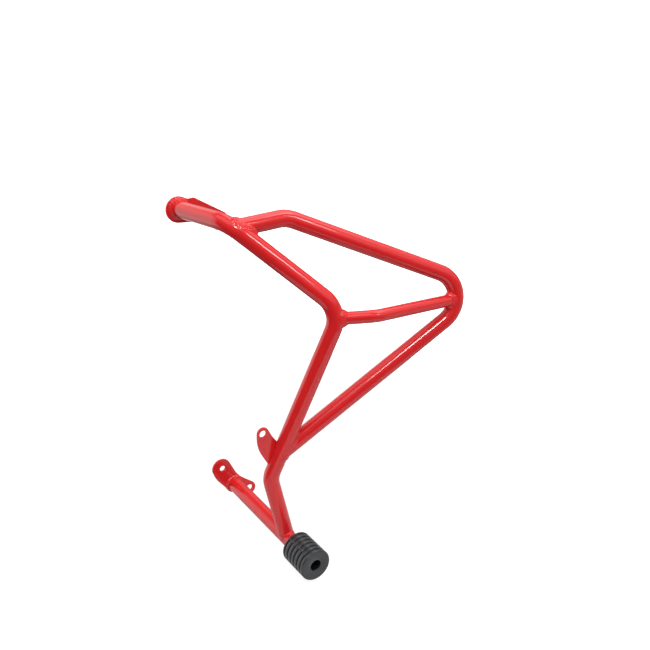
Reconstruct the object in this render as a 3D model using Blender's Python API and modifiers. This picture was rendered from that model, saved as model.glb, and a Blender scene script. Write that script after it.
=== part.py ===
"""Right-hand crash bar (engine guard) of a motorcycle, with its slider puck.

Welded steel tube, powder coated red. X points to the front of the motorcycle, Y to its middle and Z up.
The origin lies on the inner face of the lower mounting plate, on the axis of the lower arm.
Sizes and places are in millimetres, and MM turns them into Blender's metres.
"""

import math

import bmesh
import bpy
from mathutils import Matrix, Vector

MM = 0.001
GAP = 0.3  # kept between pieces that touch

# Tubes
TUBE_RADIUS = 12.7
TUBE_WALL = 2.0
BRACE_RADIUS = 9.525
BRACE_WALL = 1.6
BEND_RADIUS = 45.0
LOOP_BEND_RADIUS = 44.0
BEND_STEP = math.radians(9)
TUBE_SIDES = 24

# Mounting plates, all at right angles to Y
PLATE_THICKNESS = 4.0
LOWER_PLATE_FACE = -PLATE_THICKNESS
UPPER_PLATE_FACE = -20.0
TAB_FACE = -187.0

# Slider at the outer end of the lower arm
SLIDER_SEAT = -220.0
SLIDER_RADIUS = 25.4
SLIDER_LENGTH = 57.0
SLIDER_GROOVES = 6
GROOVE_PITCH = 9.0
LAST_GROOVE = 5.0  # from the seat to the middle of the groove next to it
GROOVE_DEPTH = 1.6
GROOVE_WIDTH = 2.4
GROOVE_FLARE = 0.9
COUNTERBORE_RADIUS = 9.0
COUNTERBORE_DEPTH = 34.0
SLEEVE_RADIUS = 8.0
BOLT_RADIUS = 5.0
BOLT_CLEARANCE = 5.3
BOLT_HEAD_RADIUS = 8.0
BOLT_HEAD_HEIGHT = 10.0
BOLT_SOCKET_RADIUS = 4.6
BOLT_SOCKET_DEPTH = 5.0
BOLT_LENGTH = 45.0
WASHER_RADIUS = 8.6
WASHER_THICKNESS = 2.0
BUNG_LENGTH = 24.0

# Bend points of each tube's axis, from end to end. Its ends lie inside its neighbours, which cut it back
MAIN_POINTS = (
    (-76.5, UPPER_PLATE_FACE + PLATE_THICKNESS, 512.5),
    (-60.0, -152.4, 514.0),
    (70.3, -237.6, 387.0),
    (-23.0, -182.2, 113.4),
    (0.0, -190.0, 0.0),
)
LOOP_POINTS = (
    (-52.0, -155.7, 506.5),
    (29.0, -157.4, 512.7),
    (327.0, -263.0, 382.0),
    (-8.0, -191.6, 157.4),
)
BRACE_POINTS = (
    (62.5, -233.2, 374.5),
    (117.5, -259.5, 376.0),
    (279.5, -249.5, 369.0),
)
ARM_POINTS = (
    (0.0, LOWER_PLATE_FACE + PLATE_THICKNESS, 0.0),
    (0.0, SLIDER_SEAT, 0.0),
)

# A plate's outline runs like a belt round discs, each given as X, Z and radius. The radius is negative
# where the outline turns inwards. A hole is X, Z and radius too
LOWER_PLATE = (
    (-22.8, 38.6, 17.4),
    (17.5, 47.0, 58.2),
    (0.0, 0.0, 15.3),
    (30.0, -20.2, 12.8),
    (66.0, 58.0, -71.0),
)
LOWER_PLATE_HOLES = ((-21.0, 37.5, 5.25), (30.5, -20.0, 6.25))
UPPER_PLATE = (
    (-76.5, 511.6, 20.1),
    (-50.0, 480.0, -10.0),
    (-10.5, 487.0, 15.5),
    (-51.5, 522.3, 5.0),
    (-59.5, 531.5, -5.0),
)
UPPER_PLATE_HOLES = ((-9.0, 486.5, 5.25),)
SIDE_TAB = (
    (-35.0, 195.8, 9.8),
    (20.0, 189.0, 65.0),
    (-24.0, 138.5, 2.0),
    (-6.0, 165.0, 2.0),
    (6.2, 202.6, -30.0),
)
SIDE_TAB_HOLES = ((-35.4, 195.4, 5.75),)

# Weld beads: the radius of each rod of weld metal, and how its line is found
UPPER_WELD_RADIUS = 4.3
LOWER_WELD_RADIUS = 3.6
TUBE_WELD_RADIUS = 3.6
ARM_WELD_RADIUS = 2.4
TAB_WELD_RADIUS = 3.4
TAB_WELD_START = -40.0
TAB_WELD_HEIGHTS = (146.0, 152.0, 158.0, 164.0, 170.0, 176.0)
SLAB_WIDTH = 2000.0
SLAB_DEPTH = 20.0
SADDLE_STEP = 0.25
SADDLE_PLACES = 240
SADDLE_SMOOTHINGS = 2
SADDLE_STEPS = 36
BEAD_SIDES = 10

RED = (0.62, 0.012, 0.016)
BLACK = (0.018, 0.020, 0.022)
STEEL = (0.56, 0.57, 0.58)
ZINC = (0.35, 0.36, 0.37)


def clear_scene():
    for obj in list(bpy.data.objects):
        bpy.data.objects.remove(obj, do_unlink=True)


def new_collection(name, cutters=False):
    collection = bpy.data.collections.new(name)
    collection.hide_render = cutters
    bpy.context.scene.collection.children.link(collection)
    return collection


def new_material(name, colour, roughness, metallic):
    material = bpy.data.materials.new(name)
    material.use_nodes = True
    shader = material.node_tree.nodes["Principled BSDF"]
    shader.inputs["Base Color"].default_value = (*colour, 1)
    shader.inputs["Roughness"].default_value = roughness
    shader.inputs["Metallic"].default_value = metallic
    return material


def bent_path(points, bend_radius):
    """The axis of a bent tube: its bend points, each rounded to an arc."""
    points = [Vector(point) for point in points]
    path = [points[0]]
    for before, corner, after in zip(points, points[1:], points[2:]):
        inward = (before - corner).normalized()
        onward = (after - corner).normalized()
        turn = math.pi - inward.angle(onward)
        reach = bend_radius * math.tan(turn / 2)
        axis = inward.cross(onward).normalized()
        start = corner + inward * reach
        centre = corner + (inward + onward).normalized() * bend_radius / math.cos(turn / 2)
        steps = max(2, math.ceil(turn / BEND_STEP))
        for step in range(steps + 1):
            swing = Matrix.Rotation(-turn * step / steps, 3, axis)
            path.append(centre + swing @ (start - centre))
    path.append(points[-1])
    return path


def curve_object(name, path, radius, sides, closed=False, caps=True):
    curve = bpy.data.curves.new(name, "CURVE")
    curve.dimensions = "3D"
    curve.bevel_depth = radius * MM
    curve.bevel_resolution = (sides - 4) // 2
    curve.use_fill_caps = caps
    spline = curve.splines.new("POLY")
    spline.points.add(len(path) - 1)
    for target, point in zip(spline.points, path):
        target.co = (*(point * MM), 1)
    spline.use_cyclic_u = closed
    return bpy.data.objects.new(name, curve)


def as_mesh(obj, collection):
    """Turns a curve object, or one with modifiers, into a plain welded mesh object."""
    name = obj.name
    bpy.context.scene.collection.objects.link(obj)
    bpy.context.view_layer.update()
    evaluated = obj.evaluated_get(bpy.context.evaluated_depsgraph_get())
    mesh = bpy.data.meshes.new_from_object(evaluated)
    place = obj.matrix_world.copy()
    bpy.data.objects.remove(obj, do_unlink=True)
    shape = bmesh.new()
    shape.from_mesh(mesh)
    bmesh.ops.remove_doubles(shape, verts=shape.verts, dist=0.001 * MM)
    if shape.faces and all(edge.is_manifold for edge in shape.edges):
        bmesh.ops.recalc_face_normals(shape, faces=shape.faces)
    shape.to_mesh(mesh)
    shape.free()
    solid = bpy.data.objects.new(name, mesh)
    solid.matrix_world = place
    collection.objects.link(solid)
    return solid


def smooth(obj, angle=40):
    obj.data.shade_smooth()
    obj.data.set_sharp_from_angle(angle=math.radians(angle))


def finish(obj, material):
    obj.data.materials.clear()
    obj.data.materials.append(material)
    smooth(obj)
    return obj


def cutter(name, path, radius, sides=TUBE_SIDES, closed=False):
    """A filled tube, used only to cut other pieces."""
    solid = as_mesh(curve_object(f"cut_{name}", path, radius, sides, closed), cutters)
    solid.hide_render = True
    solid.display_type = "WIRE"
    return solid


def cut_with(obj, *tools):
    for tool in tools:
        boolean = obj.modifiers.new(f"cut by {tool.name}", "BOOLEAN")
        boolean.operation = "DIFFERENCE"
        boolean.object = tool
    return obj


def largest_body(obj):
    """Applies the modifiers and keeps the largest of the bodies that they leave."""
    evaluated = obj.evaluated_get(bpy.context.evaluated_depsgraph_get())
    mesh = bpy.data.meshes.new_from_object(evaluated)
    obj.modifiers.clear()
    shape = bmesh.new()
    shape.from_mesh(mesh)
    left = set(shape.verts)
    bodies = []
    while left:
        body = {left.pop()}
        edge_of_body = list(body)
        while edge_of_body:
            vert = edge_of_body.pop()
            for edge in vert.link_edges:
                other = edge.other_vert(vert)
                if other not in body:
                    body.add(other)
                    edge_of_body.append(other)
        left -= body
        bodies.append(body)
    kept = max(bodies, key=extent)
    bmesh.ops.delete(shape, geom=[vert for vert in shape.verts if vert not in kept], context="VERTS")
    shape.to_mesh(mesh)
    shape.free()
    obj.data = mesh
    return obj


def extent(verts):
    """The diagonal of the box round some vertices."""
    low = Vector([min(vert.co[axis] for vert in verts) for axis in range(3)])
    high = Vector([max(vert.co[axis] for vert in verts) for axis in range(3)])
    return (high - low).length


def hollow_tube(name, path, radius, wall, neighbours):
    """A bent tube with open ends, coped where it meets its neighbours."""
    tube = as_mesh(curve_object(name, path, radius, TUBE_SIDES, caps=False), parts)
    shell = tube.modifiers.new("wall", "SOLIDIFY")
    shell.thickness = wall * MM
    shell.offset = -1
    shell.use_even_offset = True
    cut_with(tube, *neighbours)
    bpy.context.view_layer.update()
    return finish(largest_body(tube), red_paint)


def belt(discs):
    """The outline of a belt that runs round discs, anticlockwise, and bends inwards on negative radii."""
    legs = []
    for (x, z, radius), (next_x, next_z, next_radius) in zip(discs, discs[1:] + discs[:1]):
        gap = Vector((next_x - x, next_z - z))
        lean = math.acos((next_radius - radius) / gap.length)
        legs.append(Matrix.Rotation(lean, 2) @ gap.normalized())
    points = []
    for index, (x, z, radius) in enumerate(discs):
        arrive, leave = -legs[index - 1] * radius, -legs[index] * radius
        turn = math.atan2(arrive.x * leave.y - arrive.y * leave.x, arrive.dot(leave))
        if turn * radius < 0:
            turn += math.copysign(math.tau, radius)
        steps = max(2, math.ceil(abs(turn) / BEND_STEP))
        for step in range(steps + 1):
            points.append(Vector((x, z)) + Matrix.Rotation(turn * step / steps, 2) @ arrive)
    return points


def circle(x, z, radius, steps=32):
    angles = (math.tau * step / steps for step in range(steps))
    return [Vector((x + radius * math.cos(a), z + radius * math.sin(a))) for a in angles]


def plate(name, discs, holes, face, neighbours=()):
    """A flat plate in X and Z whose outer face is at Y = face, with its bolt holes."""
    curve = bpy.data.curves.new(name, "CURVE")
    curve.dimensions = "2D"
    curve.fill_mode = "BOTH"
    curve.extrude = PLATE_THICKNESS / 2 * MM
    for outline in (belt(discs), *(circle(*hole) for hole in holes)):
        spline = curve.splines.new("POLY")
        spline.points.add(len(outline) - 1)
        for target, point in zip(spline.points, outline):
            target.co = (point.x * MM, point.y * MM, 0, 1)
        spline.use_cyclic_u = True
    flat = bpy.data.objects.new(name, curve)
    flat.rotation_euler = (math.radians(90), 0, 0)
    flat.location = (0, (face + PLATE_THICKNESS / 2) * MM, 0)
    solid = as_mesh(flat, parts)
    if neighbours:
        cut_with(solid, *neighbours)
        bpy.context.view_layer.update()
        largest_body(solid)
    return finish(solid, red_paint)


def distance_to(path, point):
    """The distance from a point to an axis made of straight stretches."""
    best = math.inf
    for start, end in zip(path, path[1:]):
        along = end - start
        share = (point - start).dot(along) / along.length_squared
        best = min(best, (point - start - along * min(1, max(0, share))).length)
    return best


def saddle(path, radius, depth, steps=SADDLE_STEPS):
    """The line round a straight tube end where its skin leaves the piece that it is welded to. path starts
    inside that piece, and depth says how deep a point lies in it, negative outside."""
    start, toward = path[0], (path[1] - path[0]).normalized()
    side = toward.orthogonal().normalized()
    line = []
    for step in range(steps):
        skin = start + Matrix.Rotation(math.tau * step / steps, 3, toward) @ side * radius
        places = [skin + toward * SADDLE_STEP * count for count in range(SADDLE_PLACES)]
        inside = [place for place in places if depth(place) > 0]
        line.append(inside[-1] if inside else max(places, key=depth))
    for _ in range(SADDLE_SMOOTHINGS):
        line = [(line[i - 1] + line[i] + line[(i + 1) % steps]) / 3 for i in range(steps)]
    return line


def weld(name, line, radius, neighbours, closed=True):
    """A bead along a line, cut back to the pieces that it joins."""
    bead = as_mesh(curve_object(name, line, radius, BEAD_SIDES, closed), parts)
    cut_with(bead, *neighbours)
    for modifier in bead.modifiers:
        modifier.use_self = True
    bpy.context.view_layer.update()
    return finish(largest_body(bead), red_paint)


def turned(name, profile, seat, material, steps=36):
    """A turned piece. profile holds (radius, height) pairs, from its top inner edge outwards and down, and
    height is measured outwards along the arm from the slider's seat."""
    mesh = bpy.data.meshes.new(name)
    shape = bmesh.new()
    corners = [shape.verts.new((radius * MM, 0, height * MM)) for radius, height in profile]
    for first, second in zip(corners, corners[1:] + corners[:1]):
        if first.co.x > 0 or second.co.x > 0:
            shape.edges.new((first, second))
    shape.to_mesh(mesh)
    shape.free()
    obj = bpy.data.objects.new(name, mesh)
    obj.rotation_euler = (math.radians(90), 0, 0)
    obj.location = (0, seat * MM, 0)
    screw = obj.modifiers.new("turn", "SCREW")
    screw.steps = steps
    screw.render_steps = steps
    screw.use_merge_vertices = True
    screw.merge_threshold = 0.0001 * MM
    solid = as_mesh(obj, parts)
    return finish(solid, material)


def puck_profile():
    """Ribs between a plain front flange and the seat, with a counterbore for the bolt."""
    floor = SLIDER_LENGTH - COUNTERBORE_DEPTH
    bore = SLEEVE_RADIUS + GAP
    profile = [
        (COUNTERBORE_RADIUS, SLIDER_LENGTH - 0.8),
        (COUNTERBORE_RADIUS + 0.8, SLIDER_LENGTH),
        (SLIDER_RADIUS - 2.5, SLIDER_LENGTH),
        (SLIDER_RADIUS - 0.7, SLIDER_LENGTH - 0.8),
        (SLIDER_RADIUS, SLIDER_LENGTH - 2.6),
    ]
    for groove in reversed(range(SLIDER_GROOVES)):
        middle = LAST_GROOVE + groove * GROOVE_PITCH
        profile += [
            (SLIDER_RADIUS, middle + GROOVE_WIDTH / 2 + GROOVE_FLARE),
            (SLIDER_RADIUS - GROOVE_DEPTH, middle + GROOVE_WIDTH / 2),
            (SLIDER_RADIUS - GROOVE_DEPTH, middle - GROOVE_WIDTH / 2),
            (SLIDER_RADIUS, middle - GROOVE_WIDTH / 2 - GROOVE_FLARE),
        ]
    profile += [
        (SLIDER_RADIUS, 1.5),
        (SLIDER_RADIUS - 1.5, GAP),
        (bore, GAP),
        (bore, floor),
        (COUNTERBORE_RADIUS, floor),
    ]
    return profile


def bolt_profile():
    floor = SLIDER_LENGTH - COUNTERBORE_DEPTH
    under = floor + WASHER_THICKNESS + 2 * GAP
    top = under + BOLT_HEAD_HEIGHT
    return [
        (0, top - BOLT_SOCKET_DEPTH),
        (BOLT_SOCKET_RADIUS, top - BOLT_SOCKET_DEPTH),
        (BOLT_SOCKET_RADIUS, top),
        (BOLT_HEAD_RADIUS - 0.8, top),
        (BOLT_HEAD_RADIUS, top - 0.8),
        (BOLT_HEAD_RADIUS, under),
        (BOLT_RADIUS, under),
        (BOLT_RADIUS, under - BOLT_LENGTH + 1),
        (BOLT_RADIUS - 1, under - BOLT_LENGTH),
        (0, under - BOLT_LENGTH),
    ]


def ring_profile(inner, outer, low, high):
    return [(inner, high), (outer, high), (outer, low), (inner, low)]


def make_slider():
    """The puck and what holds it: the plug in the arm, the sleeve, the washer and the bolt."""
    floor = SLIDER_LENGTH - COUNTERBORE_DEPTH
    turned("slider_puck", puck_profile(), SLIDER_SEAT, black_nylon, steps=40)
    turned("slider_sleeve", ring_profile(BOLT_CLEARANCE, SLEEVE_RADIUS, GAP, floor), SLIDER_SEAT, zinc, 24)
    washer = ring_profile(BOLT_CLEARANCE, WASHER_RADIUS, floor + GAP, floor + GAP + WASHER_THICKNESS)
    turned("slider_washer", washer, SLIDER_SEAT, zinc, 24)
    turned("slider_bolt", bolt_profile(), SLIDER_SEAT, zinc, 24)
    bung = ring_profile(BOLT_CLEARANCE, TUBE_RADIUS - TUBE_WALL - GAP, -BUNG_LENGTH, 0)
    turned("slider_bung", bung, SLIDER_SEAT, bare_steel, 24)


def make_tubes():
    hollow_tube("main_tube", main_path, TUBE_RADIUS, TUBE_WALL, [arm_skin, upper_face])
    hollow_tube("loop_tube", loop_path, TUBE_RADIUS, TUBE_WALL, [main_skin])
    hollow_tube("cross_brace", brace_path, BRACE_RADIUS, BRACE_WALL, [main_skin, loop_skin])
    hollow_tube("lower_arm", arm_path, TUBE_RADIUS, TUBE_WALL, [lower_face])


def make_plates():
    plate("upper_mount_plate", UPPER_PLATE, UPPER_PLATE_HOLES, UPPER_PLATE_FACE)
    plate("lower_mount_plate", LOWER_PLATE, LOWER_PLATE_HOLES, LOWER_PLATE_FACE)
    plate("side_tab", SIDE_TAB, SIDE_TAB_HOLES, TAB_FACE, [main_skin])


def behind(face):
    """How deep a point lies behind a plate's outer face, at Y = face."""
    return lambda point: point.y - face


def within(path, radius):
    """How deep a point lies inside a tube."""
    return lambda point: radius - distance_to(path, point)


def slab_cutter(name, low, high):
    """A wide block from Y = low to Y = high that stands for a plate where other pieces are cut back to it."""
    mesh = bpy.data.meshes.new(f"cut_{name}")
    shape = bmesh.new()
    bmesh.ops.create_cube(shape, size=MM)
    shape.to_mesh(mesh)
    shape.free()
    block = bpy.data.objects.new(f"cut_{name}", mesh)
    block.scale = (SLAB_WIDTH, high - low, SLAB_WIDTH)
    block.location = (0, (low + high) / 2 * MM, 0)
    block.hide_render = True
    block.display_type = "WIRE"
    cutters.objects.link(block)
    return block


def tab_seam():
    """The line on the side tab's outer face where that face runs into the main tube."""
    depth = within(main_path, TUBE_RADIUS)
    line = []
    for z in TAB_WELD_HEIGHTS:
        point = Vector((TAB_WELD_START, TAB_FACE, z))
        while depth(point) < 0:
            point.x += SADDLE_STEP
        line.append(point)
    return line


def make_welds():
    line = saddle(main_path, TUBE_RADIUS, behind(UPPER_PLATE_FACE))
    weld("weld_upper_plate", line, UPPER_WELD_RADIUS, [main_skin, upper_face])
    line = saddle(arm_path, TUBE_RADIUS, behind(LOWER_PLATE_FACE))
    weld("weld_lower_plate", line, LOWER_WELD_RADIUS, [arm_skin, lower_face])
    inside_main = within(main_path, TUBE_RADIUS)
    line = saddle(loop_path, TUBE_RADIUS, inside_main)
    weld("weld_loop_upper", line, TUBE_WELD_RADIUS, [main_skin, loop_skin])
    line = saddle(loop_path[::-1], TUBE_RADIUS, inside_main)
    weld("weld_loop_lower", line, TUBE_WELD_RADIUS, [main_skin, loop_skin])
    line = saddle(brace_path, BRACE_RADIUS, inside_main)
    weld("weld_brace_rear", line, TUBE_WELD_RADIUS, [main_skin, brace_skin])
    line = saddle(brace_path[::-1], BRACE_RADIUS, within(loop_path, TUBE_RADIUS))
    weld("weld_brace_front", line, TUBE_WELD_RADIUS, [loop_skin, brace_skin])
    line = saddle(main_path[::-1], TUBE_RADIUS, within(arm_path, TUBE_RADIUS))
    weld("weld_main_to_arm", line, ARM_WELD_RADIUS, [main_skin, arm_skin])
    weld("weld_side_tab", tab_seam(), TAB_WELD_RADIUS, [main_skin, tab_slab], closed=False)


clear_scene()
parts = new_collection("crash_bar")
cutters = new_collection("cutters", cutters=True)

red_paint = new_material("red powder coat", RED, 0.18, 0)
black_nylon = new_material("black nylon", BLACK, 0.45, 0)
bare_steel = new_material("bare steel", STEEL, 0.4, 1)
zinc = new_material("zinc plated steel", ZINC, 0.3, 1)

main_path = bent_path(MAIN_POINTS, BEND_RADIUS)
loop_path = bent_path(LOOP_POINTS, LOOP_BEND_RADIUS)
brace_path = bent_path(BRACE_POINTS, BEND_RADIUS)
arm_path = bent_path(ARM_POINTS, BEND_RADIUS)

main_skin = cutter("main_skin", main_path, TUBE_RADIUS + GAP)
loop_skin = cutter("loop_skin", loop_path, TUBE_RADIUS + GAP)
brace_skin = cutter("brace_skin", brace_path, BRACE_RADIUS + GAP)
arm_skin = cutter("arm_skin", arm_path, TUBE_RADIUS + GAP)
upper_face = slab_cutter("upper_face", UPPER_PLATE_FACE - GAP, UPPER_PLATE_FACE + SLAB_DEPTH)
lower_face = slab_cutter("lower_face", LOWER_PLATE_FACE - GAP, LOWER_PLATE_FACE + SLAB_DEPTH)
tab_slab = slab_cutter("tab_slab", TAB_FACE - GAP, TAB_FACE + PLATE_THICKNESS + GAP)

make_tubes()
make_plates()
make_slider()
make_welds()
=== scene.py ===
"""Looks of a crash bar: bent tubes, rounded plates, weld beads, a turned slider, gloss red coat."""

import math

import bmesh
import bpy
import numpy as np
from mathutils import Matrix, Vector


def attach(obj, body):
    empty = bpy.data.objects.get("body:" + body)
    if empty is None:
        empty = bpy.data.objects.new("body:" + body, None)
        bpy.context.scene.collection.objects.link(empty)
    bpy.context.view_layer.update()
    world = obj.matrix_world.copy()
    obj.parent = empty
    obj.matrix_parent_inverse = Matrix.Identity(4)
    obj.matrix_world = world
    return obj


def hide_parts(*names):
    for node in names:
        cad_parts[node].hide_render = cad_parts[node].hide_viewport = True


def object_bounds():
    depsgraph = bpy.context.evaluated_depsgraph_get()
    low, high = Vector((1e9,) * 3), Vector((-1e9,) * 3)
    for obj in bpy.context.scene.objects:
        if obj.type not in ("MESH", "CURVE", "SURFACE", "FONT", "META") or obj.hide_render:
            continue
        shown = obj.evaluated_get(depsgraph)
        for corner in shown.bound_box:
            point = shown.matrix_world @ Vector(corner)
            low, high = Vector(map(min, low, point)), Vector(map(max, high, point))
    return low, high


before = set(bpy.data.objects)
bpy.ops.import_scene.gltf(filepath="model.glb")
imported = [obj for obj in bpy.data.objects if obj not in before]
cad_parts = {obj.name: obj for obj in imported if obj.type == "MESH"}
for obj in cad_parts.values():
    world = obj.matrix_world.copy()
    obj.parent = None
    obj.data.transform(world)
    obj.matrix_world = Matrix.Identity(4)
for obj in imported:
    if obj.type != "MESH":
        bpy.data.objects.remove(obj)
cad_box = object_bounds()

MM = 0.001

# ---------------------------------------------------------------- sizes, in mm

TUBE_RADIUS = 12.7
BRACE_RADIUS = 9.525
BEND_RADIUS = 45.0
LOOP_BEND_RADIUS = 44.0

PLATE_THICKNESS = 4.0
LOWER_PLATE_FACE = -PLATE_THICKNESS
UPPER_PLATE_FACE = -20.0
TAB_FACE = -187.0
SLIDER_SEAT = -220.0

# The bend points of each tube's axis
MAIN_POINTS = (
    (-76.2, -18.6, 512.5),
    (-60.0, -152.4, 514.0),
    (70.3, -237.6, 387.0),
    (-23.0, -182.2, 113.4),
    (0.0, -190.0, 0.0),
)
LOOP_POINTS = (
    (-52.0, -155.7, 506.5),
    (29.0, -157.4, 512.7),
    (327.0, -263.0, 382.0),
    (-8.0, -191.6, 157.4),
)
BRACE_POINTS = (
    (62.5, -233.2, 374.5),
    (117.5, -259.5, 376.0),
    (279.5, -249.5, 369.0),
)
ARM_POINTS = ((0.0, -3.0, 0.0), (0.0, SLIDER_SEAT, 0.0))

# Each plate's outline runs round discs: X, Z and radius, negative where the outline is hollow
LOWER_PLATE = (
    (-22.8, 38.6, 17.4),
    (17.5, 47.0, 58.2),
    (0.0, 0.0, 15.3),
    (30.0, -20.2, 12.8),
    (66.0, 58.0, -71.0),
)
LOWER_PLATE_HOLES = ((-21.0, 37.5, 5.25), (30.5, -20.0, 6.25))
UPPER_PLATE = (
    (-76.5, 511.6, 20.1),
    (-50.0, 480.0, -10.0),
    (-10.5, 487.0, 15.5),
    (-51.5, 522.3, 5.0),
    (-59.5, 531.5, -5.0),
)
UPPER_PLATE_HOLES = ((-9.0, 486.5, 5.25),)
SIDE_TAB = (
    (-35.0, 195.8, 9.8),
    (20.0, 189.0, 65.0),
    (-24.0, 138.5, 2.0),
    (-6.0, 165.0, 2.0),
    (6.2, 202.6, -30.0),
)
SIDE_TAB_HOLES = ((-35.4, 195.4, 5.75),)

SLIDER_RADIUS = 25.4
SLIDER_LENGTH = 57.0
SLIDER_BORE_RADIUS = 8.3
COUNTERBORE_RADIUS = 9.0
COUNTERBORE_DEPTH = 34.0
GROOVES = [5.0 + 9.0 * k for k in range(6)]

# ---------------------------------------------------------------- finer detail, in mm

BEND_STEP = math.radians(2)
TUBE_SIDES = 72
LONGEST_STRETCH = 6.0  # between two rings of a tube
TUBE_SIDEWAYS = (0.31, 0.17, 0.93)  # no tube runs this way

PLATE_EDGE = 0.7  # how far the coat rounds an edge
PLATE_EDGE_STEPS = 3
PLATE_CURVE_STEP = math.radians(4)
HOLE_SIDES = 64

SEAM_POINTS = 240
SEAM_REACH = 70  # how far from a tube's end its seam can lie
SEAM_STEP = 0.2
SEAM_SIDEWAYS = (0.2, 0.9, 0.3)
SEAM_ROUNDS = 30  # of smoothing
SEAM_SETTLINGS = 4  # of the smoothed line, onto the host and the branch by turns
TAB_SEAM_POINTS = 90
TAB_SEAM_HEIGHTS = (143, 179)
TAB_SEAM_START = -40.0  # the X, clear of the tube, from which the seam moves until it meets it
TAB_SEAM_MOVE = 0.1

RIPPLE_PITCH = 3.2
RIPPLE_BOW = 1.5  # how far a ripple's middle runs ahead of its ends, in radians
WELD_ROOT = 0.8  # how deep a weld's root lies in the metal
WELD_TOE = 0.4
WELD_STRIPS = 10
WELD_END = 0.55  # how much of a leg's length an open weld's end rises over
SLOW_SWELL, SLOW_WAVE = 0.10, 9  # how much a weld's size varies, and the shortest wave in that
QUICK_SWELL, QUICK_WAVE = 0.05, 4
WANDER, WANDER_WAVE = 0.5, 12  # the same for where the ripples lie, in ripples

PUCK_SIDES = 160
PUCK_RIM = 1.9  # the radius of the rounded front edge
PUCK_RIM_STEPS = 9
GROOVE_SHAPE = (  # distance from a groove's middle, and depth there
    (2.2, 0.0),
    (1.95, 0.06),
    (1.75, 0.25),
    (1.6, 0.6),
    (1.45, 1.1),
    (1.3, 1.45),
    (1.1, 1.6),
    (0.4, 1.6),
)


# ---------------------------------------------------------------- shapes


def unit(v):
    return v / np.maximum(np.linalg.norm(v, axis=-1, keepdims=True), 1e-9)


def bent_path(points, bend_radius):
    """The axis of a bent tube: its bend points, each rounded to an arc."""
    points = [Vector(point) for point in points]
    path = [points[0]]
    for before, corner, after in zip(points, points[1:], points[2:]):
        inward = (before - corner).normalized()
        onward = (after - corner).normalized()
        turn = math.pi - inward.angle(onward)
        reach = bend_radius * math.tan(turn / 2)
        axis = inward.cross(onward).normalized()
        start = corner + inward * reach
        centre = corner + (inward + onward).normalized() * bend_radius / math.cos(turn / 2)
        steps = max(2, math.ceil(turn / BEND_STEP))
        for step in range(steps + 1):
            swing = Matrix.Rotation(-turn * step / steps, 3, axis)
            path.append(centre + swing @ (start - centre))
    path.append(points[-1])
    return np.array(path)


def spaced(path, longest):
    """The path with points added, so that no stretch is longer."""
    found = [path[0]]
    for a, b in zip(path, path[1:]):
        count = max(1, math.ceil(np.linalg.norm(b - a) / longest))
        found += [a + (b - a) * k / count for k in range(1, count + 1)]
    return np.array(found)


def turn_outwards(mesh, merge=None):
    """Turns every face outwards, once points nearer each other than merge are joined."""
    shape = bmesh.new()
    shape.from_mesh(mesh)
    if merge:
        bmesh.ops.remove_doubles(shape, verts=shape.verts, dist=merge)
    bmesh.ops.recalc_face_normals(shape, faces=shape.faces)
    shape.to_mesh(mesh)
    shape.free()


def add_piece(name, mesh, material, sharp=None):
    """The mesh, smooth-shaded, as a piece that stands for the node of its name."""
    mesh.shade_smooth()
    if sharp:
        mesh.set_sharp_from_angle(angle=math.radians(sharp))
    mesh.materials.append(material)
    piece = bpy.data.objects.new(name, mesh)
    bpy.context.scene.collection.objects.link(piece)
    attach(piece, "root")
    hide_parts(name)
    return piece


def new_piece(name, skin, material, sharp):
    verts, faces = skin
    mesh = bpy.data.meshes.new(name)
    mesh.from_pydata((np.asarray(verts) * MM).tolist(), [], faces)
    mesh.validate()
    turn_outwards(mesh)
    add_piece(name, mesh, material, sharp)


def loft(rings, closed_path=False):
    """Vertices and faces of a skin through rings of points, capped unless the path is closed."""
    rings = np.asarray(rings)
    count, around = rings.shape[:2]
    faces = []
    for i in range(count if closed_path else count - 1):
        j = (i + 1) % count
        for k in range(around):
            m = (k + 1) % around
            faces.append((i * around + k, i * around + m, j * around + m, j * around + k))
    if not closed_path:
        faces.append(tuple(range(around - 1, -1, -1)))
        faces.append(tuple((count - 1) * around + k for k in range(around)))
    return rings.reshape(-1, 3), faces


def tube(name, path, radius):
    """A tube along its axis, with rings that never twist."""
    path = spaced(path, LONGEST_STRETCH)
    legs = unit(np.diff(path, axis=0))
    tangents = unit(np.vstack([legs[:1], legs[:-1] + legs[1:], legs[-1:]]))
    side = unit(np.cross(tangents[0], TUBE_SIDEWAYS))
    angles = np.linspace(0, math.tau, TUBE_SIDES, endpoint=False)
    rings = []
    for point, tangent in zip(path, tangents):
        side = unit(side - tangent * (side @ tangent))
        other = np.cross(tangent, side)
        circle = np.outer(np.cos(angles), side) + np.outer(np.sin(angles), other)
        rings.append(point + radius * circle)
    new_piece(name, loft(rings), red_paint, sharp=50)


def belt(discs):
    """The outline of a belt that runs anticlockwise round discs. It bends inwards where a radius
    is negative."""
    legs = []
    for (x, z, radius), (next_x, next_z, next_radius) in zip(discs, discs[1:] + discs[:1]):
        gap = Vector((next_x - x, next_z - z))
        lean = math.acos((next_radius - radius) / gap.length)
        legs.append(Matrix.Rotation(lean, 2) @ gap.normalized())
    points = []
    for index, (x, z, radius) in enumerate(discs):
        arrive, leave = -legs[index - 1] * radius, -legs[index] * radius
        turn = math.atan2(arrive.x * leave.y - arrive.y * leave.x, arrive.dot(leave))
        if turn * radius < 0:
            turn += math.copysign(math.tau, radius)
        steps = max(2, math.ceil(abs(turn) / PLATE_CURVE_STEP))
        for step in range(steps + 1):
            points.append(Vector((x, z)) + Matrix.Rotation(turn * step / steps, 2) @ arrive)
    return points


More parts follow.
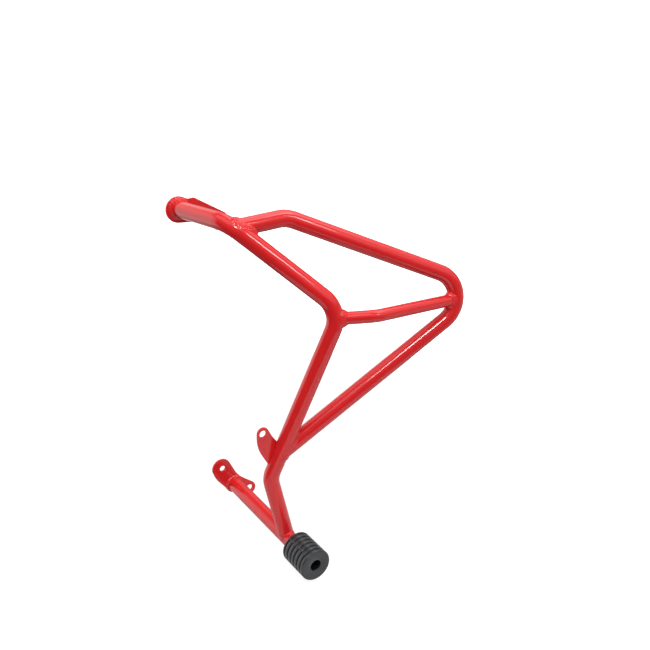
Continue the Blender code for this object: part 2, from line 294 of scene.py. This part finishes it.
def plate(name, discs, holes, face):
    """A laser-cut plate whose edges the coat has rounded, with its bolt holes."""
    curve = bpy.data.curves.new(name, "CURVE")
    curve.dimensions = "2D"
    curve.fill_mode = "BOTH"
    curve.extrude = (PLATE_THICKNESS / 2 - PLATE_EDGE) * MM
    curve.bevel_depth = PLATE_EDGE * MM
    curve.bevel_resolution = PLATE_EDGE_STEPS
    curve.offset = -PLATE_EDGE * MM
    outlines = [belt(discs)]
    for x, z, radius in holes:
        turns = (math.tau * step / HOLE_SIDES for step in range(HOLE_SIDES))
        outlines.append(
            [Vector((x + radius * math.cos(a), z + radius * math.sin(a))) for a in turns]
        )
    for outline in outlines:
        spline = curve.splines.new("POLY")
        spline.points.add(len(outline) - 1)
        for target, point in zip(spline.points, outline):
            target.co = (point.x * MM, point.y * MM, 0, 1)
        spline.use_cyclic_u = True
    flat = bpy.data.objects.new(name, curve)
    bpy.context.scene.collection.objects.link(flat)
    bpy.context.view_layer.update()
    solid = flat.evaluated_get(bpy.context.evaluated_depsgraph_get())
    mesh = bpy.data.meshes.new_from_object(solid)
    bpy.data.objects.remove(flat)
    middle = Matrix.Translation((0, (face + PLATE_THICKNESS / 2) * MM, 0))
    mesh.transform(middle @ Matrix.Rotation(math.radians(90), 4, "X"))
    turn_outwards(mesh, merge=0.001 * MM)
    piece = add_piece(name, mesh, red_paint)
    piece.modifiers.new("flat faces", "WEIGHTED_NORMAL").weight = 100


# ---------------------------------------------------------------- welds


class Tube:
    """The skin of a bent tube, as something that a weld lies on."""

    def __init__(self, path, radius):
        self.start, self.leg, self.radius = path[:-1], np.diff(path, axis=0), radius

    def normal(self, points):
        return self._look(points)[1]

    def depth(self, points):
        return self.radius - self._look(points)[2]

    def on(self, points):
        near, normal, _ = self._look(points)
        return near + normal * self.radius

    def _look(self, points):
        """For each point: the nearest place on the axis, the way out from there, and how far."""
        away = points[:, None] - self.start
        share = np.clip((away * self.leg).sum(-1) / (self.leg**2).sum(-1), 0, 1)
        gap = away - share[..., None] * self.leg
        far = np.linalg.norm(gap, axis=-1)
        best = far.argmin(1)
        rows = np.arange(len(points))
        gap = gap[rows, best]
        return points - gap, unit(gap), far[rows, best]


class Face:
    """The outer face of a plate at right angles to Y, as something that a weld lies on."""

    def __init__(self, y):
        self.y = y

    def normal(self, points):
        return np.tile((0.0, -1.0, 0.0), (len(points), 1))

    def depth(self, points):
        return points[:, 1] - self.y

    def on(self, points):
        return np.column_stack([points[:, 0], np.full(len(points), self.y), points[:, 2]])


def smoothed(line, rounds):
    """A closed line with each point moved to the mean of itself and its neighbours."""
    for _ in range(rounds):
        line = (np.roll(line, 1, 0) + line + np.roll(line, -1, 0)) / 3
    return line


def seam(path, branch, host, rounds):
    """The line round a tube's first end where its skin leaves the piece that it is welded to."""
    toward = unit(path[1] - path[0])
    side = unit(np.cross(toward, SEAM_SIDEWAYS))
    other = np.cross(toward, side)
    along = np.arange(0, SEAM_REACH, SEAM_STEP)[:, None]
    line = []
    for angle in np.linspace(0, math.tau, SEAM_POINTS, endpoint=False):
        spoke = branch.radius * (math.cos(angle) * side + math.sin(angle) * other)
        skin = path[0] + spoke + along * toward
        depth = host.depth(skin)
        inside = np.nonzero(depth > 0)[0]
        line.append(skin[inside[-1] if len(inside) else depth.argmax()])
    line = smoothed(np.array(line), rounds)
    for _ in range(SEAM_SETTLINGS):
        line = branch.on(host.on(line))
    return smoothed(line, 3)


def tab_seam(host):
    """The line down the side tab's outer face, from top to bottom, where it meets the tube."""
    line = np.empty((TAB_SEAM_POINTS, 3))
    line[:, 0] = TAB_SEAM_START
    line[:, 1] = TAB_FACE
    line[:, 2] = np.linspace(*TAB_SEAM_HEIGHTS, TAB_SEAM_POINTS)
    while (host.depth(line) < 0).any():
        line[:, 0] += np.where(host.depth(line) < 0, TAB_SEAM_MOVE, 0)
    return line[::-1]


def waves(size, count, seed, closed):
    """Smooth noise along a line, about -1 to 1."""
    rng = np.random.default_rng(seed)
    place = np.linspace(0, math.tau, size, endpoint=not closed)
    total = 0
    for k in range(1, count + 1):
        share = math.cos(rng.uniform(0, math.tau))
        total = total + share * np.sin(place * k + rng.uniform(0, math.tau))
    return total / max(1e-9, np.abs(total).max())


def weld(name, line, branch, host, legs, seed, crown=0.5, ripple=0.25, closed=True):
    """A fillet weld along a seam: a crowned, rippled skin between its two toes, with its root
    inside the metal. legs are its reach on the branch and on the host."""
    count = len(line)
    ahead, behind = np.roll(line, -1, 0), np.roll(line, 1, 0)
    steps = np.linalg.norm(np.diff(line, axis=0, append=line[:1]), axis=1)
    if not closed:
        ahead[-1], behind[0] = line[-1], line[0]
        steps[-1] = 0
    run = unit(ahead - behind)
    length = steps.sum()
    travel = np.concatenate([[0], np.cumsum(steps)[:-1]])
    place = travel / length

    slow = waves(count, max(3, int(length / SLOW_WAVE)), seed, closed)
    quick = waves(count, max(4, int(length / QUICK_WAVE)), seed + 1, closed)
    size = 1 + SLOW_SWELL * slow + QUICK_SWELL * quick
    if not closed:
        fade = np.clip(np.minimum(travel, length - travel) / (WELD_END * legs[1]), 0, 1)
        size = size * np.sqrt(fade * (2 - fade) + 1e-4)

    branch_out, host_out = branch.normal(line), host.normal(line)
    on_branch = branch.on(line + unit(np.cross(branch_out, run)) * (legs[0] * size)[:, None])
    on_host = host.on(line + unit(np.cross(run, host_out)) * (legs[1] * size)[:, None])
    toe_branch, toe_host = branch.normal(on_branch), host.normal(on_host)

    turns = length / RIPPLE_PITCH
    if closed:
        turns = max(1, round(turns))
    wander = WANDER * waves(count, max(3, int(length / WANDER_WAVE)), seed + 2, closed)
    strips = [line - unit(branch_out + host_out) * WELD_ROOT, on_branch - toe_branch * WELD_TOE]
    for share in np.linspace(0, 1, WELD_STRIPS + 1):
        lift = unit(toe_branch * (1 - share) + toe_host * share)
        bow = 4 * share * (1 - share)
        phase = math.tau * (turns * place + wander) - RIPPLE_BOW * bow
        wave = 0.6 * np.cos(phase) + 0.4 * np.abs(np.cos(phase / 2)) - 0.1
        bump = crown * bow * size + ripple * math.sqrt(bow) * wave
        strips.append(on_branch * (1 - share) + on_host * share + lift * bump[:, None])
    strips.append(on_host - toe_host * WELD_TOE)
    skin = loft(np.array(strips).transpose(1, 0, 2), closed_path=closed)
    new_piece(name, skin, weld_paint, sharp=70)


def tube_weld(name, path, branch, host, legs, seed, rounds=SEAM_ROUNDS, **bead):
    """The weld round a tube's first end."""
    weld(name, seam(path, branch, host, rounds), branch, host, legs, seed, **bead)


# ---------------------------------------------------------------- the slider


def puck_profile():
    """Rounded ribs between turned grooves, a rounded front edge and a counterbore, as pairs of
    radius and height above the seat."""
    floor = SLIDER_LENGTH - COUNTERBORE_DEPTH
    top, outer, hole = SLIDER_LENGTH, SLIDER_RADIUS, COUNTERBORE_RADIUS
    profile = [(hole, top - 0.9), (hole + 0.25, top - 0.4), (hole + 0.9, top)]
    profile += [(outer - PUCK_RIM - 0.3, top)]
    for step in range(1, PUCK_RIM_STEPS + 1):
        a = math.pi / 2 * (1 - step / PUCK_RIM_STEPS)
        radius = outer - PUCK_RIM + PUCK_RIM * math.cos(a)
        profile.append((radius, top - PUCK_RIM + PUCK_RIM * math.sin(a)))
    for middle in reversed(GROOVES):
        profile += [(outer - dip, middle + spot) for spot, dip in GROOVE_SHAPE]
        profile += [(outer - dip, middle - spot) for spot, dip in reversed(GROOVE_SHAPE)]
    profile += [(outer, 1.6), (outer - 0.35, 0.75), (outer - 1.2, 0.3)]
    profile += [(SLIDER_BORE_RADIUS, 0.3), (SLIDER_BORE_RADIUS, floor), (hole, floor)]
    return profile


def puck(name):
    """The slider's profile turned about the lower arm's axis."""
    angles = [math.tau * step / PUCK_SIDES for step in range(PUCK_SIDES)]
    rings = [
        [(radius * math.cos(a), SLIDER_SEAT - height, radius * math.sin(a)) for a in angles]
        for radius, height in puck_profile()
    ]
    new_piece(name, loft(rings, closed_path=True), nylon, sharp=35)


# ---------------------------------------------------------------- materials


class Nodes:
    """Short names for building a material's nodes."""

    def __init__(self, name):
        self.material = bpy.data.materials.new(name)
        self.material.use_nodes = True
        self.tree = self.material.node_tree
        self.shader = self.tree.nodes["Principled BSDF"]
        self.object = self.add("ShaderNodeTexCoord").outputs["Object"]

    def add(self, kind, **values):
        node = self.tree.nodes.new(kind)
        for key, value in values.items():
            setattr(node, key, value)
        return node

    def link(self, source, target):
        self.tree.links.new(source, target)

    def noise(self, scale, detail, source=None):
        node = self.add("ShaderNodeTexNoise")
        self.link(source or self.object, node.inputs["Vector"])
        node.inputs["Scale"].default_value = scale
        node.inputs["Detail"].default_value = detail
        return node.outputs["Fac"]

    def ramp(self, source, low, high, low_at, high_at):
        """source mapped from low_at..high_at to low..high."""
        node = self.add("ShaderNodeMapRange")
        self.link(source, node.inputs["Value"])
        ends = {"From Min": low_at, "From Max": high_at, "To Min": low, "To Max": high}
        for key, value in ends.items():
            node.inputs[key].default_value = value
        return node.outputs["Result"]

    def mix(self, share, first, second):
        node = self.add("ShaderNodeMix", data_type="RGBA")
        self.link(share, node.inputs["Factor"])
        node.inputs["A"].default_value = (*first, 1)
        node.inputs["B"].default_value = (*second, 1)
        return node.outputs["Result"]

    def maths(self, operation, *sources):
        node = self.add("ShaderNodeMath", operation=operation)
        for source, target in zip(sources, node.inputs):
            self.link(source, target)
        return node.outputs[0]

    def join(self, **sources):
        """A vector whose named coordinates come from sources."""
        node = self.add("ShaderNodeCombineXYZ")
        for axis, source in sources.items():
            self.link(source, node.inputs[axis])
        return node.outputs[0]

    def length(self, source):
        node = self.add("ShaderNodeVectorMath", operation="LENGTH")
        self.link(source, node.inputs[0])
        return node.outputs["Value"]

    def bump(self, source, strength, distance, after=None):
        node = self.add("ShaderNodeBump")
        self.link(source, node.inputs["Height"])
        node.inputs["Strength"].default_value = strength
        node.inputs["Distance"].default_value = distance
        if after:
            self.link(after, node.inputs["Normal"])
        return node.outputs["Normal"]

    def set(self, **values):
        for key, value in values.items():
            self.shader.inputs[key.replace("_", " ")].default_value = value

    def to(self, name, source):
        self.link(source, self.shader.inputs[name])


def red_powder_coat(name, beading=0.0):
    """Gloss red coat with a slight orange peel. beading is the depth of a weld's fine lumps."""
    m = Nodes(name)
    m.set(Metallic=0.0, IOR=1.5)
    patches = m.noise(22.0, 3.0)
    m.to("Base Color", m.mix(patches, (0.55, 0.0135, 0.0155), (0.60, 0.0160, 0.0180)))
    m.to("Roughness", m.ramp(m.noise(60.0, 2.0), 0.06, 0.10, 0.3, 0.7))
    peel = m.bump(m.noise(420.0, 1.0), 1.0, 0.000005)
    skin = m.bump(m.noise(110.0, 1.0), 1.0, 0.000006, after=peel)
    if beading:
        skin = m.bump(m.noise(620.0, 2.0), 1.0, beading, after=skin)
    m.to("Normal", skin)
    return m.material


def black_nylon():
    """Turned plastic: fine tool tracks round the axis, and painted shade that makes the grooves darker
    than the ribs.
    """
    m = Nodes("black nylon")
    m.set(Metallic=0.0, IOR=1.5)
    split = m.add("ShaderNodeSeparateXYZ")
    m.link(m.object, split.inputs[0])
    x, y, z = split.outputs
    radius = m.length(m.join(X=x, Z=z))
    tracks = m.join(X=m.maths("ADD", radius, y))
    m.to("Normal", m.bump(m.noise(2200.0, 1.0, source=tracks), 0.3, 0.000015))
    front = (SLIDER_SEAT - SLIDER_LENGTH) * MM
    # Painted shade: the base colour goes darker in the grooves, behind the front rim, where shade
    # falls.
    behind_rim = m.ramp(y, 0.0, 1.0, front + 0.0020, front + 0.0025)
    sunk = m.ramp(radius, 1.0, 0.0, (SLIDER_RADIUS - 1.3) * MM, (SLIDER_RADIUS - 0.2) * MM)
    painted_groove_shade = m.maths("MULTIPLY", behind_rim, sunk)
    m.to("Base Color", m.mix(painted_groove_shade, (0.0230, 0.0260, 0.0290), (0.0050, 0.0055, 0.0060)))
    m.to("Roughness", m.ramp(m.noise(300.0, 2.0), 0.14, 0.20, 0.3, 0.7))
    return m.material


def metal(name, colour, rough):
    m = Nodes(name)
    m.set(Metallic=1.0)
    light = tuple(min(1.0, c * 1.12) for c in colour)
    m.to("Base Color", m.mix(m.noise(180.0, 3.0), colour, light))
    m.to("Roughness", m.ramp(m.noise(320.0, 2.0), rough - 0.06, rough + 0.08, 0.3, 0.7))
    m.to("Normal", m.bump(m.noise(1400.0, 2.0), 0.08, 0.0003))
    return m.material


red_paint = red_powder_coat("red powder coat")
weld_paint = red_powder_coat("red powder coat on welds", beading=0.0001)
nylon = black_nylon()
zinc = metal("zinc plated steel", (0.33, 0.34, 0.35), 0.34)
steel = metal("bare steel", (0.45, 0.45, 0.44), 0.42)

# ---------------------------------------------------------------- the object

main_path = bent_path(MAIN_POINTS, BEND_RADIUS)
loop_path = bent_path(LOOP_POINTS, LOOP_BEND_RADIUS)
brace_path = bent_path(BRACE_POINTS, BEND_RADIUS)
arm_path = bent_path(ARM_POINTS, BEND_RADIUS)

tube("main_tube", main_path, TUBE_RADIUS)
tube("loop_tube", loop_path, TUBE_RADIUS)
tube("cross_brace", brace_path, BRACE_RADIUS)
tube("lower_arm", arm_path, TUBE_RADIUS)

plate("lower_mount_plate", LOWER_PLATE, LOWER_PLATE_HOLES, LOWER_PLATE_FACE)
plate("upper_mount_plate", UPPER_PLATE, UPPER_PLATE_HOLES, UPPER_PLATE_FACE)
plate("side_tab", SIDE_TAB, SIDE_TAB_HOLES, TAB_FACE)

main, loop = Tube(main_path, TUBE_RADIUS), Tube(loop_path, TUBE_RADIUS)
brace, arm = Tube(brace_path, BRACE_RADIUS), Tube(arm_path, TUBE_RADIUS)
upper_face, lower_face, tab_face = Face(UPPER_PLATE_FACE), Face(LOWER_PLATE_FACE), Face(TAB_FACE)

tube_weld("weld_upper_plate", main_path, main, upper_face, (4.5, 5.5), seed=1, rounds=0)
tube_weld("weld_lower_plate", arm_path, arm, lower_face, (3.6, 4.2), seed=2, rounds=0)
tube_weld("weld_loop_upper", loop_path, loop, main, (5.5, 5.5), seed=3, crown=0.7, ripple=0.4)
tube_weld("weld_loop_lower", loop_path[::-1], loop, main, (4.5, 4.5), seed=4)
tube_weld("weld_brace_rear", brace_path, brace, main, (7.5, 5.0), seed=5, crown=0.15, ripple=0.2)
tube_weld("weld_brace_front", brace_path[::-1], brace, loop, (5.5, 4.5), seed=6, crown=0.25, ripple=0.2)
tube_weld("weld_main_to_arm", main_path[::-1], main, arm, (2.8, 2.8), seed=7, crown=0.3, ripple=0.15)
weld("weld_side_tab", tab_seam(main), tab_face, main, (4.6, 4.0), seed=8, crown=0.3, closed=False)

puck("slider_puck")
metals = {"slider_sleeve": zinc, "slider_washer": zinc, "slider_bolt": zinc, "slider_bung": steel}
for node, material in metals.items():
    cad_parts[node].data.materials.clear()
    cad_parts[node].data.materials.append(material)

# ---------------------------------------------------------------- camera

CAMERA_AZIMUTH = math.radians(-33.39)
CAMERA_ELEVATION = math.radians(20.66)
CAMERA_PLACE = (-0.506, -1.0699, 0.7467)
SENSOR_WIDTH = 36.0
FOCAL_LENGTH = 41.54

scene = bpy.context.scene
back = Vector((
    math.sin(CAMERA_AZIMUTH) * math.cos(CAMERA_ELEVATION),
    -math.cos(CAMERA_AZIMUTH) * math.cos(CAMERA_ELEVATION),
    math.sin(CAMERA_ELEVATION),
))
camera = bpy.data.objects.new("camera", bpy.data.cameras.new("camera"))
camera.data.sensor_width = SENSOR_WIDTH
camera.data.lens = FOCAL_LENGTH
camera.location = CAMERA_PLACE
camera.rotation_euler = back.to_track_quat("Z", "Y").to_euler()
scene.collection.objects.link(camera)
scene.camera = camera
scene.view_settings.view_transform = "Standard"

# ---------------------------------------------------------------- light

# The studio round the object, in degrees. Azimuth from and to, where 0 is +Y and 90 is +X,
# elevation from and to, strength, and how wide the fall at each edge is.
WINDOWS = (
    (-60, 20, -30, 32, 1.15, 16),
    (20, 125, -5, 32, 0.2, 20),
    (95, 142, -50, 0, 0.5, 14),
    (20, 120, 28, 50, 0.6, 16),
    (15, 125, 46, 84, 2.0, 14),
    (-150, -20, 42, 80, 1.3, 20),
    (-185, -155, 42, 80, 2.0, 16),
    (120, 185, 14, 32, 0.7, 12),
    (120, 175, 30, 48, 0.7, 12),
    (-152, -139, 43, 53, 30.0, 3),  # small and bright, for a narrow streak in the gloss
    (153.5, 169, 35, 38, 34.0, 1.5),  # the same, for another
    (100, 130, 55, 66, 5.0, 6),
    (-180, -60, -45, 10, -0.17, 16),  # a black flag
)
AMBIENT = 0.2

# Lamps that aren't seen in the gloss: name, place, aim, size and power
SOFTBOXES = (
    ("overhead", (0.2, -0.35, 1.15), (0.1, -0.2, 0.4), 0.6, 1.5),
    ("front_fill", (0.0, -0.8, 0.75), (0.05, -0.2, 0.45), 0.4, 1.0),
    ("left_fill", (-0.65, -0.3, 0.7), (-0.02, -0.15, 0.38), 0.4, 1.3),
)


def studio_world():
    """A soft studio, as windows of light by azimuth and elevation."""
    world = bpy.data.worlds.new("studio")
    world.use_nodes = True
    tree = world.node_tree
    tree.nodes.clear()

    def node(kind, *inputs, **values):
        made = tree.nodes.new(kind)
        for key, value in values.items():
            setattr(made, key, value)
        for socket, value in zip(made.inputs, inputs):
            if hasattr(value, "links"):
                tree.links.new(value, socket)
            else:
                socket.default_value = value
        return made.outputs[0]

    def maths(operation, *inputs):
        return node("ShaderNodeMath", *inputs, operation=operation)

    def window(value, low, high, soft):
        """1 between low and high, with a fall to 0 that is soft wide and centred on each edge."""
        middle, half = (low + high) / 2, (high - low) / 2
        away = maths("ABSOLUTE", maths("SUBTRACT", value, middle))
        ends = (half - soft / 2, half + soft / 2, 1.0, 0.0)
        return node("ShaderNodeMapRange", away, *ends, interpolation_type="SMOOTHSTEP")

    def azimuth_from(middle):
        """Azimuth measured from middle, -180 to 180."""
        away = maths("ADD", maths("SUBTRACT", azimuth, middle), 180.0 + 2 * 360.0)
        return maths("SUBTRACT", maths("MODULO", away, 360.0), 180.0)

    split = tree.nodes.new("ShaderNodeSeparateXYZ")
    tree.links.new(tree.nodes.new("ShaderNodeTexCoord").outputs["Generated"], split.inputs[0])
    x, y, z = split.outputs
    azimuth = maths("MULTIPLY", maths("ARCTAN2", x, y), 180 / math.pi)
    elevation = maths("MULTIPLY", maths("ARCSINE", z), 180 / math.pi)

    total = None
    for low, high, bottom, top, strength, soft in WINDOWS:
        middle = (low + high) / 2
        around = window(azimuth_from(middle), low - middle, high - middle, soft)
        up = window(elevation, bottom, top, min(soft, top - bottom))
        lit = maths("MULTIPLY", maths("MULTIPLY", around, up), strength)
        total = lit if total is None else maths("ADD", total, lit)
    total = maths("ADD", total, AMBIENT)
    light = node("ShaderNodeBackground", (1, 1, 1, 1), total)
    output = tree.nodes.new("ShaderNodeOutputWorld")
    tree.links.new(light, output.inputs["Surface"])
    return world


def softbox(name, place, aim, size, power):
    lamp = bpy.data.lights.new(name, "AREA")
    lamp.size = size
    lamp.energy = power
    shade = bpy.data.objects.new(name, lamp)
    shade.location = place
    shade.rotation_euler = (Vector(place) - Vector(aim)).to_track_quat("Z", "Y").to_euler()
    shade.visible_glossy = shade.visible_camera = False
    scene.collection.objects.link(shade)


scene.world = studio_world()
for row in SOFTBOXES:
    softbox(*row)

# ---------------------------------------------------------------- floor and backdrop

FLOOR_RADIUS = 0.75
BOUNCE_RADIUS = 0.48
DOME_RADIUS = 12


def stage_piece(name, build, radius, base, glow, place=(0, 0, 0)):
    """A white piece of the studio, partly lit and partly glowing."""
    mesh = bpy.data.meshes.new(name)
    shape = bmesh.new()
    build(shape, radius)
    shape.to_mesh(mesh)
    shape.free()
    pale = Nodes(f"{name} white")
    pale.to("Base Color", pale.mix(pale.noise(6.0, 3.0), (base,) * 3, (base * 1.05,) * 3))
    pale.set(Roughness=0.9, Emission_Color=(1, 1, 1, 1), Emission_Strength=glow)
    pale.material.cycles.emission_sampling = "NONE"
    mesh.materials.append(pale.material)
    piece = bpy.data.objects.new(name, mesh)
    piece.location = place
    scene.collection.objects.link(piece)
    return piece


def disc(shape, radius):
    bmesh.ops.create_circle(shape, cap_ends=True, segments=96, radius=radius)


def dome(shape, radius):
    bmesh.ops.create_uvsphere(shape, u_segments=64, v_segments=32, radius=radius)


def camera_only(piece):
    """The piece is seen, but it lights nothing and hides no light."""
    piece.visible_diffuse = piece.visible_glossy = piece.visible_transmission = False
    piece.visible_shadow = piece.visible_volume_scatter = False


lowest = cad_box[0].z
floor_place = (0.1, -0.14, lowest - 0.001)
bounce_place = (0.02, -0.45, lowest - 0.002)
camera_only(stage_piece("floor", disc, FLOOR_RADIUS, 0.2, 0.85, floor_place))
camera_only(stage_piece("backdrop", dome, DOME_RADIUS, 0.9, 1.0))
bounce = stage_piece("bounce", disc, BOUNCE_RADIUS, 0.55, 0.0, bounce_place)
bounce.visible_camera = False
